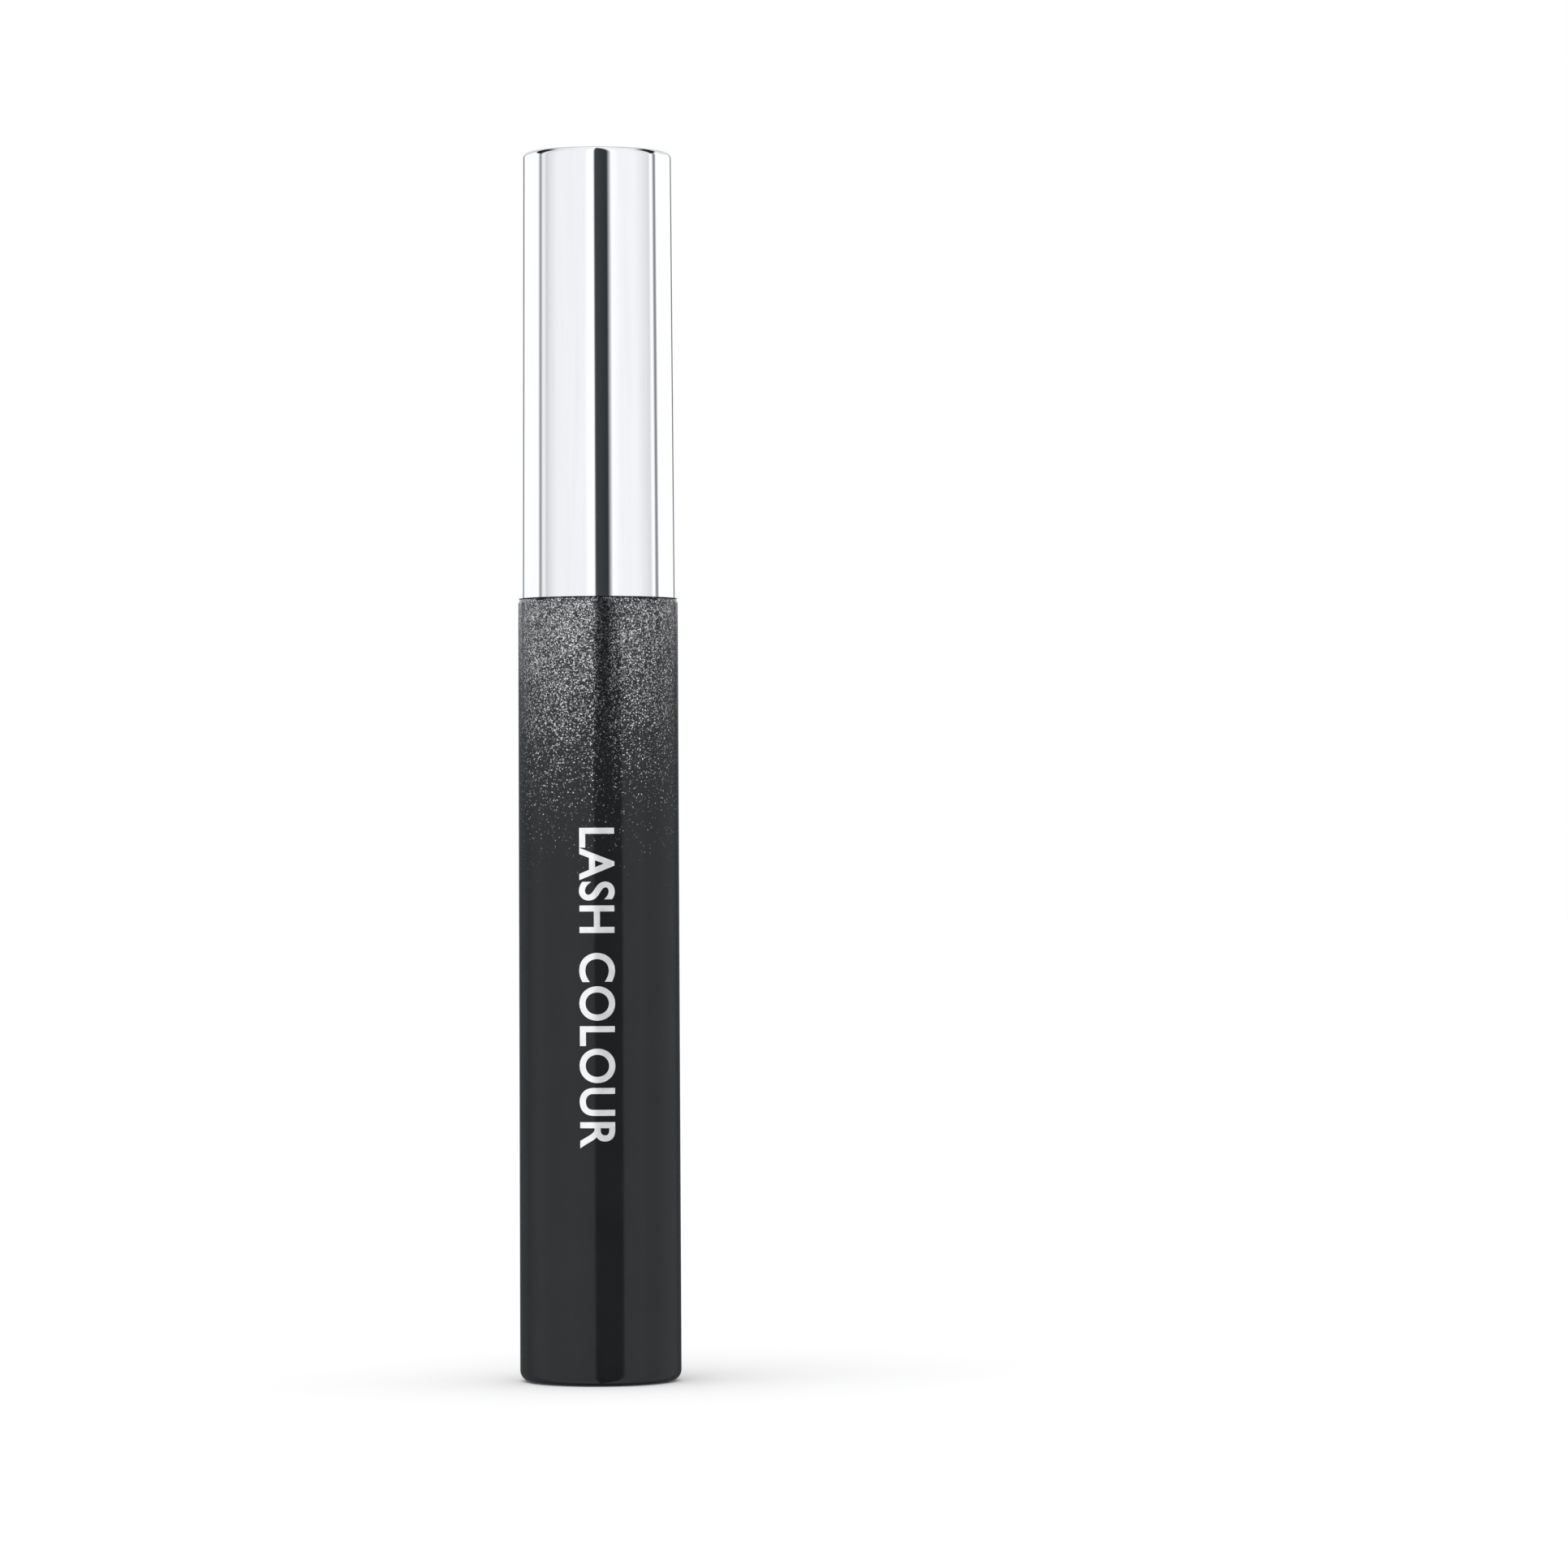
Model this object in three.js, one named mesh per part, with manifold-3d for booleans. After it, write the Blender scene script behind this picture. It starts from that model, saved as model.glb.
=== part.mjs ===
// Mascara tube: a lacquered bottle with a screw cap that carries a stem and a twisted-wire brush.
// Millimetres, +Z up, origin at the centre of the base. The tube stands closed, with the brush inside it.
// Every piece is turned about the Z axis, apart from the screw threads, the wire and the bristles.
import * as THREE from "three";
import { mergeVertices } from "three/addons/utils/BufferGeometryUtils.js";
import Module from "manifold-3d";

const wasm = await Module();
wasm.setup();

// Driving dimensions.
const BODY_HEIGHT = 77.6; // base to the sleeve's top edge
const CAP_HEIGHT = 44.0; // outside height of the cap shell
const PARTING_GAP = 0.2; // between the sleeve's top edge and the cap's lower edge
const BODY_RADIUS_BASE = 8.0;
const BODY_RADIUS_TOP = 7.92;
const CAP_RADIUS_OPEN = 7.86; // the cap tapers a little towards its closed end
const CAP_RADIUS_CLOSED = 7.64;
const SHELL_BORE = 7.02; // inside radius of the sleeve and of the cap shell
const FIT_GAP = 0.12; // all round, between pieces that are pressed or glued together

const STEM_LENGTH = 45.8; // from the cap's lower edge to the stem's tip
const STEM_RADIUS_ROOT = 2.14;
const STEM_RADIUS_TIP = 2.04;
const BRUSH_LENGTH = 25.0; // from the stem's tip to the end of the wire

const NECK_RADIUS = 5.15;
const NECK_BORE = 4.2;
const NECK_HEIGHT = 11.2; // above the sleeve's top edge
const THREAD_LEAD = 2.5; // right-handed, one start
const THREAD_TURNS_NECK = 1.5; // the cap comes free after this many turns
const THREAD_TURNS_CAP = 1.25;
const THREAD_START = 5.8; // above the sleeve's top edge, on the neck

const TUFTS = 13; // one for each half turn of the wire
const TUFT_SPACING = 1.81;
const BRISTLE_RADIUS = 3.2;
const WIRE_RADIUS = 0.27;
const STRAND_OFFSET = 0.4; // from the brush's axis to the middle of a strand

const FACETS = 48; // round a turned piece

// Heights that follow from the driving dimensions.
const capEdge = BODY_HEIGHT + PARTING_GAP;
const capTop = capEdge + CAP_HEIGHT;
const neckRim = BODY_HEIGHT + NECK_HEIGHT;
const stemTip = capEdge - STEM_LENGTH;
const brushTip = stemTip - BRUSH_LENGTH;
const firstTuft = brushTip + 2.2;

// ---------------------------------------------------------------- shapes

// Points of a quarter round from one angle to another, in degrees, about (r, z).
function roundCorner(r, z, radius, fromDegrees, toDegrees, steps = 4) {
  const points = [];
  for (let i = 0; i <= steps; i++) {
    const a = THREE.MathUtils.degToRad(fromDegrees + ((toDegrees - fromDegrees) * i) / steps);
    points.push([r + radius * Math.cos(a), z + radius * Math.sin(a)]);
  }
  return points;
}

// A turned piece. Its outline runs anticlockwise in (radius, height): outwards along the bottom, up the
// outside and inwards along the top. It starts and ends on the axis, or closes on itself if it is a ring.
function turned(outline) {
  const ring = outline[0][0] > 0;
  const points = (ring ? [...outline, outline[0]] : outline).map(([r, z]) => new THREE.Vector2(r, z));
  return new THREE.LatheGeometry(points, FACETS).rotateX(Math.PI / 2);
}

// A closed geometry as a solid that can be joined to another, and back.
function toSolid(geometry) {
  const bare = geometry.clone();
  bare.deleteAttribute("normal");
  bare.deleteAttribute("uv");
  const merged = mergeVertices(bare, 1e-3);
  const vertProperties = merged.attributes.position.array;
  const triVerts = new Uint32Array(merged.index.array);
  return new wasm.Manifold(new wasm.Mesh({ numProp: 3, vertProperties, triVerts }));
}

function toGeometry(solid) {
  const mesh = solid.getMesh();
  const geometry = new THREE.BufferGeometry();
  geometry.setAttribute("position", new THREE.BufferAttribute(new Float32Array(mesh.vertProperties), 3));
  geometry.setIndex(new THREE.BufferAttribute(new Uint32Array(mesh.triVerts), 1));
  geometry.computeVertexNormals();
  return geometry;
}

function joined(first, ...others) {
  return toGeometry(others.reduce((sum, g) => sum.add(toSolid(g)), toSolid(first)));
}

// A closed skin over a row of sections, which all have the same number of points, anticlockwise as seen
// from ahead. capTriangles lists the triangles that close an end.
function skin(sections, capTriangles) {
  const n = sections[0].length;
  const indices = [];
  for (let i = 0; i < sections.length - 1; i++) {
    for (let j = 0; j < n; j++) {
      const a = i * n + j;
      const b = i * n + ((j + 1) % n);
      indices.push(a, b, b + n, a, b + n, a + n);
    }
  }
  const last = (sections.length - 1) * n;
  for (const [a, b, c] of capTriangles) {
    indices.push(c, b, a, last + a, last + b, last + c);
  }
  const geometry = new THREE.BufferGeometry();
  geometry.setAttribute("position", new THREE.Float32BufferAttribute(sections.flat(2), 3));
  geometry.setIndex(indices);
  return geometry;
}

// A screw thread's ridge, whose foot is sunk into the wall that carries it. The crest fades into the wall
// over a twelfth of a turn at each end.
function threadRidge({ wall, crest, startZ, turns }) {
  const FOOT = 0.3; // depth of the foot inside the wall
  const HALF_FOOT = 0.65;
  const HALF_CREST = 0.3;
  const FADE_TURNS = 1 / 12;
  const STEPS_PER_TURN = 24;
  const END_HEIGHT = 0.1; // what is left of the ridge where it ends, as a share of its height
  const outward = crest > wall;
  const foot = outward ? wall - FOOT : wall + FOOT;
  const steps = Math.round(turns * STEPS_PER_TURN);
  const sections = [];
  for (let i = 0; i <= steps; i++) {
    const turn = (turns * i) / steps;
    const angle = 2 * Math.PI * turn;
    const z = startZ + THREAD_LEAD * turn;
    const height = Math.max(END_HEIGHT, Math.min(1, turn / FADE_TURNS, (turns - turn) / FADE_TURNS));
    const top = wall + (crest - wall) * height;
    const [inner, innerHalf] = outward ? [foot, HALF_FOOT] : [top, HALF_CREST];
    const [outer, outerHalf] = outward ? [top, HALF_CREST] : [foot, HALF_FOOT];
    const corners = [
      [inner, z - innerHalf],
      [inner, z + innerHalf],
      [outer, z + outerHalf],
      [outer, z - outerHalf],
    ];
    sections.push(corners.map(([r, h]) => [r * Math.cos(angle), r * Math.sin(angle), h]));
  }
  return skin(sections, [[0, 1, 2], [0, 2, 3]]);
}

// ---------------------------------------------------------------- the brush's twist

// Angle of the bristles about the axis at height z. The twist is left-handed, and it eases off to nothing
// at the bend in the end of the wire, so that the two strands meet there without a kink.
const wireBend = brushTip + STRAND_OFFSET + WIRE_RADIUS;
const EASE = 0.8;

function easedHeight(z) {
  const above = z - wireBend;
  return above < EASE ? above ** 2 / (2 * EASE) : above - EASE / 2;
}

function twist(z) {
  return (-Math.PI * (easedHeight(z) - easedHeight(firstTuft))) / TUFT_SPACING;
}

// One wire, bent like a hairpin at the brush's tip and twisted on itself: down one strand and up the other.
class HairpinWire extends THREE.Curve {
  constructor(topZ) {
    super();
    this.topZ = topZ;
    this.strandShare = 0.49; // of the parameter, for each strand; the bend has the rest
  }

  getPoint(t, target = new THREE.Vector3()) {
    const share = this.strandShare;
    if (t > share && t < 1 - share) {
      const sweep = (Math.PI * (t - share)) / (1 - 2 * share);
      const side = twist(wireBend) + Math.PI / 2;
      const across = STRAND_OFFSET * Math.cos(sweep);
      const z = wireBend - STRAND_OFFSET * Math.sin(sweep);
      return target.set(across * Math.cos(side), across * Math.sin(side), z);
    }
    const first = t <= share;
    const down = first ? t / share : (1 - t) / share;
    const z = this.topZ + (wireBend - this.topZ) * down;
    const side = twist(z) + (first ? Math.PI / 2 : -Math.PI / 2);
    return target.set(STRAND_OFFSET * Math.cos(side), STRAND_OFFSET * Math.sin(side), z);
  }
}

// Half the brush's width at height z: full over most of its length, and bullet-shaped at the tip.
function bristleReach(z) {
  const BULLET = 11.0; // length of the narrowing end
  const TIP_SHARE = 0.64; // of the full width, at the first tuft
  const along = THREE.MathUtils.clamp((z - firstTuft) / BULLET, 0, 1);
  return BRISTLE_RADIUS * (TIP_SHARE + (1 - TIP_SHARE) * Math.sin((Math.PI / 2) * along));
}

// ---------------------------------------------------------------- the pieces

function outerSleeve() {
  const FOOT_ROUND = 1.1;
  const LIP_ROUND = 0.45;
  const footCentre = BODY_RADIUS_BASE - FOOT_ROUND;
  const recess = { radius: 6.2, depth: 0.45 };
  const floorTop = 1.4;
  return turned([
    [0, recess.depth],
    [recess.radius, recess.depth],
    [recess.radius, 0],
    ...roundCorner(footCentre, FOOT_ROUND, FOOT_ROUND, -90, 0),
    ...roundCorner(BODY_RADIUS_TOP - LIP_ROUND, BODY_HEIGHT - LIP_ROUND, LIP_ROUND, 0, 90, 3),
    [SHELL_BORE + 0.1, BODY_HEIGHT],
    [SHELL_BORE, BODY_HEIGHT - 0.1],
    [SHELL_BORE, floorTop + 0.5],
    [SHELL_BORE - 0.5, floorTop],
    [0, floorTop],
  ]);
}

const bottleRadius = SHELL_BORE - 0.17;
const bottleShoulder = BODY_HEIGHT - 2.0;

function innerBottle() {
  const WALL = 1.1;
  const bore = bottleRadius - WALL;
  const underside = 1.7;
  const floor = 3.0;
  const neckRoot = bottleShoulder - 0.6; // where the neck's bore opens into the bottle
  const body = turned([
    [0, underside],
    ...roundCorner(bottleRadius - 1.0, underside + 1.0, 1.0, -90, 0),
    [bottleRadius, bottleShoulder - 0.5],
    [bottleRadius - 0.5, bottleShoulder],
    [NECK_RADIUS, bottleShoulder],
    [NECK_RADIUS, neckRim - 0.3],
    [NECK_RADIUS - 0.3, neckRim],
    [NECK_BORE, neckRim],
    [NECK_BORE, neckRoot],
    [bore, neckRoot - 2.2],
    ...roundCorner(bore - 1.5, floor + 1.5, 1.5, 0, -90),
    [0, floor],
  ]);
  const thread = threadRidge({
    wall: NECK_RADIUS,
    crest: NECK_RADIUS + 0.7,
    startZ: BODY_HEIGHT + THREAD_START,
    turns: THREAD_TURNS_NECK,
  });
  return joined(body, thread);
}

// Black ring that fills the step between the sleeve and the bottle's neck.
function shoulderCollar() {
  const inner = NECK_RADIUS + 0.2;
  const outer = SHELL_BORE - FIT_GAP;
  const bottom = bottleShoulder + 0.15;
  const top = BODY_HEIGHT - 0.25;
  return turned([
    [inner, bottom],
    [outer, bottom],
    [outer, top - 0.15],
    [outer - 0.15, top],
    [inner + 0.1, top],
    [inner, top - 0.1],
  ]);
}

// Soft insert in the neck. Its lip scrapes the stem and the brush as they are drawn out.
function wiper() {
  const plug = NECK_BORE - FIT_GAP;
  const flange = NECK_RADIUS - 0.2;
  const lip = STEM_RADIUS_ROOT + 0.14;
  const seat = neckRim + 0.1;
  const top = seat + 0.6;
  const lipZ = neckRim - 9.2;
  return turned([
    [lip + 0.47, lipZ],
    [plug, lipZ + 3.4],
    [plug, seat],
    [flange, seat],
    [flange, top],
    [3.5, top],
    [3.3, seat],
    [3.3, lipZ + 3.7],
    [lip, lipZ + 0.6],
    [lip, lipZ],
  ]);
}

function baseLabel() {
  return turned([[0, 0.1], [5.8, 0.1], [5.8, 0.3], [0, 0.3]]);
}

const washerBottom = neckRim + 0.8;
const washerTop = washerBottom + 1.0;

// Loose foam ring that the cap presses on the neck. It is wider than the cap's thread, which lifts it off
// the neck when the cap is free and keeps it in the cap.
function sealWasher() {
  const hole = STEM_RADIUS_ROOT + 0.31;
  const rim = NECK_RADIUS + 0.45;
  return turned([
    [hole, washerBottom],
    [rim - 0.15, washerBottom],
    [rim, washerBottom + 0.15],
    [rim, washerTop - 0.15],
    [rim - 0.15, washerTop],
    [hole, washerTop],
  ]);
}

const linerCeiling = washerTop + 0.1;
const linerTop = capTop - 8.9;
const socketTop = linerCeiling + 7.5;
const socketBore = 2.3;

// Threaded liner that fills the cap shell. A socket in its middle holds the stem.
function innerCap() {
  const outer = SHELL_BORE - FIT_GAP;
  const bore = 6.05;
  const pocket = 5.9; // inside radius above the ceiling
  const bottom = capEdge + 0.3;
  const crown = linerCeiling + 1.8;
  const socket = 3.5;
  const liner = turned([
    [bore + 0.15, bottom],
    [outer, bottom],
    [outer, linerTop],
    [pocket, linerTop],
    [pocket, crown],
    [socket, crown],
    [socket, socketTop],
    [socketBore, socketTop],
    [socketBore, linerCeiling],
    [bore, linerCeiling],
    [bore, bottom + 0.3],
  ]);
  const thread = threadRidge({
    wall: bore,
    crest: NECK_RADIUS + 0.17,
    startZ: BODY_HEIGHT + THREAD_START - THREAD_LEAD / 2,
    turns: THREAD_TURNS_CAP,
  });
  const RIBS = 4;
  const RIB_HEIGHT = 4.6;
  const ribs = [];
  for (let i = 0; i < RIBS; i++) {
    const rib = new THREE.BoxGeometry(pocket - socket + 0.4, 1.0, RIB_HEIGHT);
    rib.translate((pocket + socket) / 2, 0, crown + RIB_HEIGHT / 2 - 0.1);
    rib.rotateZ(((i + 0.5) * 2 * Math.PI) / RIBS);
    ribs.push(rib);
  }
  return joined(liner, thread, ...ribs);
}

function capShell() {
  const TOP_ROUND = 0.6;
  const innerTop = capTop - 0.7;
  return turned([
    [0, innerTop],
    [SHELL_BORE - 0.3, innerTop],
    [SHELL_BORE, innerTop - 0.3],
    [SHELL_BORE, capEdge],
    [CAP_RADIUS_OPEN - 0.1, capEdge],
    [CAP_RADIUS_OPEN, capEdge + 0.1],
    ...roundCorner(CAP_RADIUS_CLOSED - TOP_ROUND, capTop - TOP_ROUND, TOP_ROUND, 0, 90),
    [0, capTop],
  ]);
}

// Steel slug that gives the cap its heft. It lies loose between the liner and the top of the shell.
function capWeight() {
  const RADIUS = 6.6;
  const BEVEL = 0.4;
  const bottom = linerTop + 0.2;
  const top = capTop - 1.1;
  return turned([
    [0, bottom],
    [RADIUS - BEVEL, bottom],
    [RADIUS, bottom + BEVEL],
    [RADIUS, top - BEVEL],
    [RADIUS - BEVEL, top],
    [0, top],
  ]);
}

const wireTop = stemTip + 6.0;

// The stem's head rests on the socket's top, and a blind hole in its tip grips the wire.
function stem() {
  const TIP_ROUND = 0.8;
  const HEAD_RADIUS = 3.3;
  const hole = STRAND_OFFSET + WIRE_RADIUS + 0.09;
  const shank = socketBore - 0.1;
  return turned([
    [0, wireTop + 0.5],
    [hole, wireTop + 0.5],
    [hole, stemTip],
    ...roundCorner(STEM_RADIUS_TIP - TIP_ROUND, stemTip + TIP_ROUND, TIP_ROUND, -90, 0),
    [STEM_RADIUS_ROOT, linerCeiling - 0.2],
    [shank, linerCeiling],
    [shank, socketTop + 0.1],
    [HEAD_RADIUS, socketTop + 0.1],
    [HEAD_RADIUS, socketTop + 1.3],
    [0, socketTop + 1.3],
  ]);
}

function brushWire() {
  const SIDES = 6;
  const STEPS = 210;
  const section = new THREE.Shape();
  for (let i = 0; i < SIDES; i++) {
    const a = (2 * Math.PI * i) / SIDES;
    const corner = [WIRE_RADIUS * Math.cos(a), WIRE_RADIUS * Math.sin(a)];
    if (i === 0) section.moveTo(...corner);
    else section.lineTo(...corner);
  }
  return new THREE.ExtrudeGeometry(section, { steps: STEPS, extrudePath: new HairpinWire(wireTop) });
}

// The bristles that one half turn of the wire holds: a twisted blade, pinched between the strands and
// spreading towards its two edges.
function bristleTuft(index) {
  const HALF_HEIGHT = 0.8;
  const STEPS = 8;
  const PINCHED = 0.08; // half its thickness at the axis
  const SPREAD = 0.22; // half its thickness at an edge
  const middle = firstTuft + index * TUFT_SPACING;
  const sections = [];
  for (let i = 0; i <= STEPS; i++) {
    const z = middle + HALF_HEIGHT * ((2 * i) / STEPS - 1);
    const reach = bristleReach(z);
    const cos = Math.cos(twist(z));
    const sin = Math.sin(twist(z));
    const corners = [
      [reach, -SPREAD],
      [reach, SPREAD],
      [0, PINCHED],
      [-reach, SPREAD],
      [-reach, -SPREAD],
      [0, -PINCHED],
    ];
    sections.push(corners.map(([u, v]) => [u * cos - v * sin, u * sin + v * cos, z]));
  }
  return skin(sections, [[0, 1, 2], [0, 2, 5], [5, 2, 3], [5, 3, 4]]);
}

// ---------------------------------------------------------------- materials

function material(color, roughness, metalness = 0) {
  return new THREE.MeshStandardMaterial({ color, roughness, metalness });
}

const blackLacquer = material(0x1b1c1f, 0.25);
const blackPlastic = material(0x141416, 0.35);
const softPlastic = material(0x26262a, 0.6);
const foam = material(0xd9d9d4, 0.9);
const paper = material(0x101012, 0.5);
const brightMetal = material(0xe6e8ec, 0.06, 1);
const steel = material(0xb9b6ae, 0.3, 1);
const bristle = material(0x0b0b0c, 0.6);

// ---------------------------------------------------------------- the assembly

const tube = new THREE.Group();
const bottle = new THREE.Group();
const applicator = new THREE.Group();
tube.add(bottle, applicator);

function add(group, name, geometry, finish) {
  const mesh = new THREE.Mesh(geometry, finish);
  mesh.name = name;
  group.add(mesh);
}

add(bottle, "outer_sleeve", outerSleeve(), blackLacquer);
add(bottle, "inner_bottle", innerBottle(), blackPlastic);
add(bottle, "shoulder_collar", shoulderCollar(), blackPlastic);
add(bottle, "wiper", wiper(), softPlastic);
add(bottle, "base_label", baseLabel(), paper);

add(applicator, "cap_shell", capShell(), brightMetal);
add(applicator, "inner_cap", innerCap(), blackPlastic);
add(applicator, "cap_weight", capWeight(), steel);
add(applicator, "seal_washer", sealWasher(), foam);
add(applicator, "stem", stem(), blackPlastic);
add(applicator, "brush_wire", brushWire(), steel);
for (let i = 0; i < TUFTS; i++) {
  const number = String(i + 1).padStart(2, "0");
  add(applicator, `bristle_tuft_${number}`, bristleTuft(i), bristle);
}

export default tube;
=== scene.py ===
"""Finished surfaces, bristles, studio and camera for a mascara tube.

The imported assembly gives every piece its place. The closed tube stands on its base with +Z up, and
the side that carries the lettering faces -Y. Lengths are in metres.
"""

import math
import random

import bpy
from bpy.props import FloatProperty, FloatVectorProperty, IntProperty
from bpy.props import PointerProperty, StringProperty
from mathutils import Matrix, Vector


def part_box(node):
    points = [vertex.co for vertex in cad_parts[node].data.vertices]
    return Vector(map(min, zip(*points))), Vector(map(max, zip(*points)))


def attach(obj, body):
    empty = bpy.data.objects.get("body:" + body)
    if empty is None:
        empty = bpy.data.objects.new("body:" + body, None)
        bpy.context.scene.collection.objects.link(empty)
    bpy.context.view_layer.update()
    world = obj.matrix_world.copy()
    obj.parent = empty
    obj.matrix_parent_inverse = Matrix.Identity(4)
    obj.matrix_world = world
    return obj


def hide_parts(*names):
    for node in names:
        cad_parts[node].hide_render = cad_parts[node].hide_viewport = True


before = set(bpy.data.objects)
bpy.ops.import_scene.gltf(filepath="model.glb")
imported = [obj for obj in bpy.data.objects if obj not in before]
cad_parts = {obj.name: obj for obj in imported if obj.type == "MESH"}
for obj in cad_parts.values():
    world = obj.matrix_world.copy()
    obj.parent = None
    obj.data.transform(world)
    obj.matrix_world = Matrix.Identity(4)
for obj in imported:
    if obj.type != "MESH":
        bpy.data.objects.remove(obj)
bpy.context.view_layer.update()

bl_info = {
    "name": "Mascara Tube",
    "version": (1, 0, 0),
    "blender": (4, 5, 0),
    "location": "3D View > Sidebar > Mascara Tube",
    "description": "Builds a screw-cap mascara tube with a stem and a twisted-wire brush",
    "category": "Add Mesh",
}

MM = 0.001
ROUND = 192  # facets round the pieces that show when the tube is closed
INNER_ROUND = 128  # facets round the pieces inside it

SLEEVE_LOW, SLEEVE_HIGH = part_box("outer_sleeve")
CAP_LOW, CAP_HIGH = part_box("cap_shell")
BOTTLE_LOW, BOTTLE_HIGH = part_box("inner_bottle")
LINER_LOW, LINER_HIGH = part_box("inner_cap")
STEM_LOW, STEM_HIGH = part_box("stem")
WIRE_LOW, WIRE_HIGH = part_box("brush_wire")
TUFT_NODES = sorted(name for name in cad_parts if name.startswith("bristle_tuft_"))

SHELL_BORE = 7.02 * MM  # inside radius of the sleeve and of the cap shell
FIT_GAP = 0.12 * MM  # all round, between pieces that are pressed together
NECK_RADIUS = 5.15 * MM
NECK_BORE = 4.2 * MM
THREAD_LEAD = 2.5 * MM
THREAD_START = SLEEVE_HIGH.z + 5.8 * MM  # height of the middle of the ridge where it starts
LINER_BORE = 6.05 * MM
SOCKET_BORE = 2.3 * MM
HOLD = 0.05 * MM  # from the end of a flat stretch to the ring that keeps its shading flat


# ---------------------------------------------------------------- sizes and colours


class SleeveSettings(bpy.types.PropertyGroup):
    """Sizes and finish of the lacquered sleeve and its lettering."""

    base_radius: FloatProperty(
        name="Base radius",
        description="Outside radius of the sleeve at its foot",
        default=SLEEVE_HIGH.x,
        unit="LENGTH",
    )
    top_radius: FloatProperty(
        name="Top radius",
        description="Outside radius of the sleeve under the cap",
        default=7.92 * MM,
        unit="LENGTH",
    )
    foot_round: FloatProperty(
        name="Foot rounding",
        description="Radius of the rounded edge that the tube stands on",
        default=1.1 * MM,
        unit="LENGTH",
    )
    lacquer: FloatVectorProperty(
        name="Lacquer",
        description="Colour of the sleeve under its gloss",
        default=(0.0105, 0.0118, 0.0128),
        subtype="COLOR",
    )
    glitter: FloatVectorProperty(
        name="Glitter",
        description="Colour of the silver grains that fade down from the sleeve's top",
        default=(0.96, 0.965, 0.975),
        subtype="COLOR",
    )
    glitter_cover: FloatProperty(
        name="Glitter cover",
        description="Share of the surface that the grains cover at the sleeve's top",
        default=0.9,
        subtype="FACTOR",
        min=0.0,
        max=1.0,
    )
    glitter_end: FloatProperty(
        name="Glitter end",
        description="Height at which the last grains are found",
        default=46.0 * MM,
        unit="LENGTH",
    )
    grain: FloatProperty(
        name="Grain",
        description="Size of a silver grain",
        default=0.1 * MM,
        unit="LENGTH",
    )
    word: StringProperty(
        name="Word",
        description="What the foil lettering says, downwards",
        default="LASH COLOUR",
    )
    letter_height: FloatProperty(
        name="Letter height",
        description="Height of a capital, which lies round the sleeve",
        default=3.5 * MM,
        unit="LENGTH",
    )
    word_top: FloatProperty(
        name="Word top",
        description="Height of the first letter's edge above the base",
        default=54.8 * MM,
        unit="LENGTH",
    )
    word_length: FloatProperty(
        name="Word length",
        description="Length of the word down the sleeve",
        default=31.4 * MM,
        unit="LENGTH",
    )


class CapSettings(bpy.types.PropertyGroup):
    """Sizes and finish of the cap."""

    open_radius: FloatProperty(
        name="Open-end radius",
        description="Outside radius of the cap next to the sleeve",
        default=CAP_HIGH.x,
        unit="LENGTH",
    )
    closed_radius: FloatProperty(
        name="Closed-end radius",
        description="Outside radius of the cap below its top edge",
        default=7.64 * MM,
        unit="LENGTH",
    )
    top_round: FloatProperty(
        name="Top rounding",
        description="Radius of the cap's top edge",
        default=0.6 * MM,
        unit="LENGTH",
    )
    metal: FloatVectorProperty(
        name="Metal",
        description="Colour of the bright metallised skin",
        default=(0.925, 0.935, 0.95),
        subtype="COLOR",
    )
    roughness: FloatProperty(
        name="Roughness",
        description="How much the bright skin blurs what it mirrors",
        default=0.035,
        subtype="FACTOR",
        min=0.0,
        max=1.0,
    )


class ApplicatorSettings(bpy.types.PropertyGroup):
    """Sizes and finish of the stem, the wire and the bristles."""

    root_radius: FloatProperty(
        name="Root radius",
        description="Radius of the stem where it leaves the cap",
        default=2.14 * MM,
        unit="LENGTH",
    )
    tip_radius: FloatProperty(
        name="Tip radius",
        description="Radius of the stem next to the brush",
        default=2.04 * MM,
        unit="LENGTH",
    )
    plastic: FloatVectorProperty(
        name="Plastic",
        description="Colour of the moulded black plastic",
        default=(0.0085, 0.0085, 0.009),
        subtype="COLOR",
    )
    wire_radius: FloatProperty(
        name="Wire radius",
        description="Radius of the steel wire",
        default=0.27 * MM,
        unit="LENGTH",
    )
    strand_offset: FloatProperty(
        name="Strand offset",
        description="From the brush's axis to the middle of a strand",
        default=0.4 * MM,
        unit="LENGTH",
    )
    filaments: IntProperty(
        name="Filaments",
        description="Filaments in a tuft, each of which shows on both sides of the wire",
        default=150,
        min=8,
        max=300,
    )
    filament_radius: FloatProperty(
        name="Filament radius",
        description="Radius of a bristle filament",
        default=0.042 * MM,
        unit="LENGTH",
    )
    seed: IntProperty(
        name="Seed",
        description="Starting number of the filaments' small differences",
        default=11,
    )


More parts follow.
